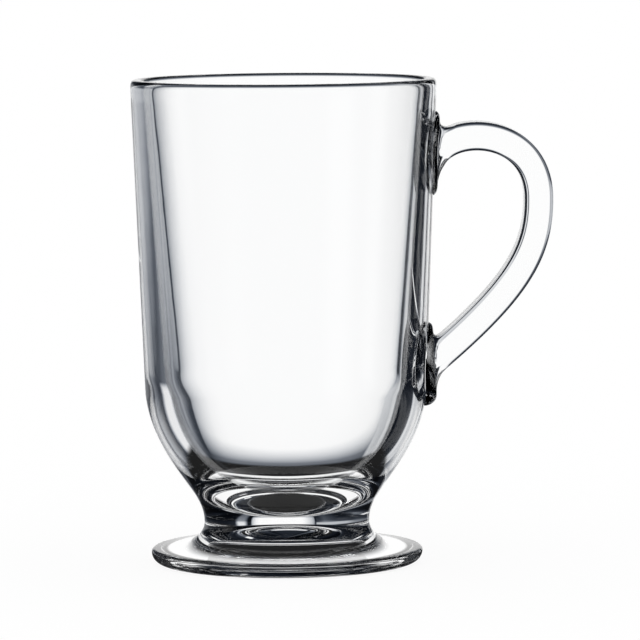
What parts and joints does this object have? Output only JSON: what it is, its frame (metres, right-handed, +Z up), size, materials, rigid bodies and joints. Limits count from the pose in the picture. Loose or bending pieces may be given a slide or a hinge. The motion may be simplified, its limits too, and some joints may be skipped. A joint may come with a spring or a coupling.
{
  "type": "footed glass mug",
  "caption": "Clear glass coffee mug: a round-bottomed bowl on a short flared foot, with a flat-sided loop handle fused to its wall.",
  "frame": {"origin": "where the bowl's axis meets the table, in the middle of the foot's underside", "axes": "+Z up along the bowl's axis, +X towards the handle, +Y across the handle's flat sides"},
  "size_m": [0.1102, 0.08, 0.127],
  "materials": {
    "clear_glass": "fire-polished clear soda-lime glass"
  },
  "bodies": {
    "root": {"bowl": "clear_glass", "foot": "clear_glass", "handle": "clear_glass"}
  },
  "joints": []
}
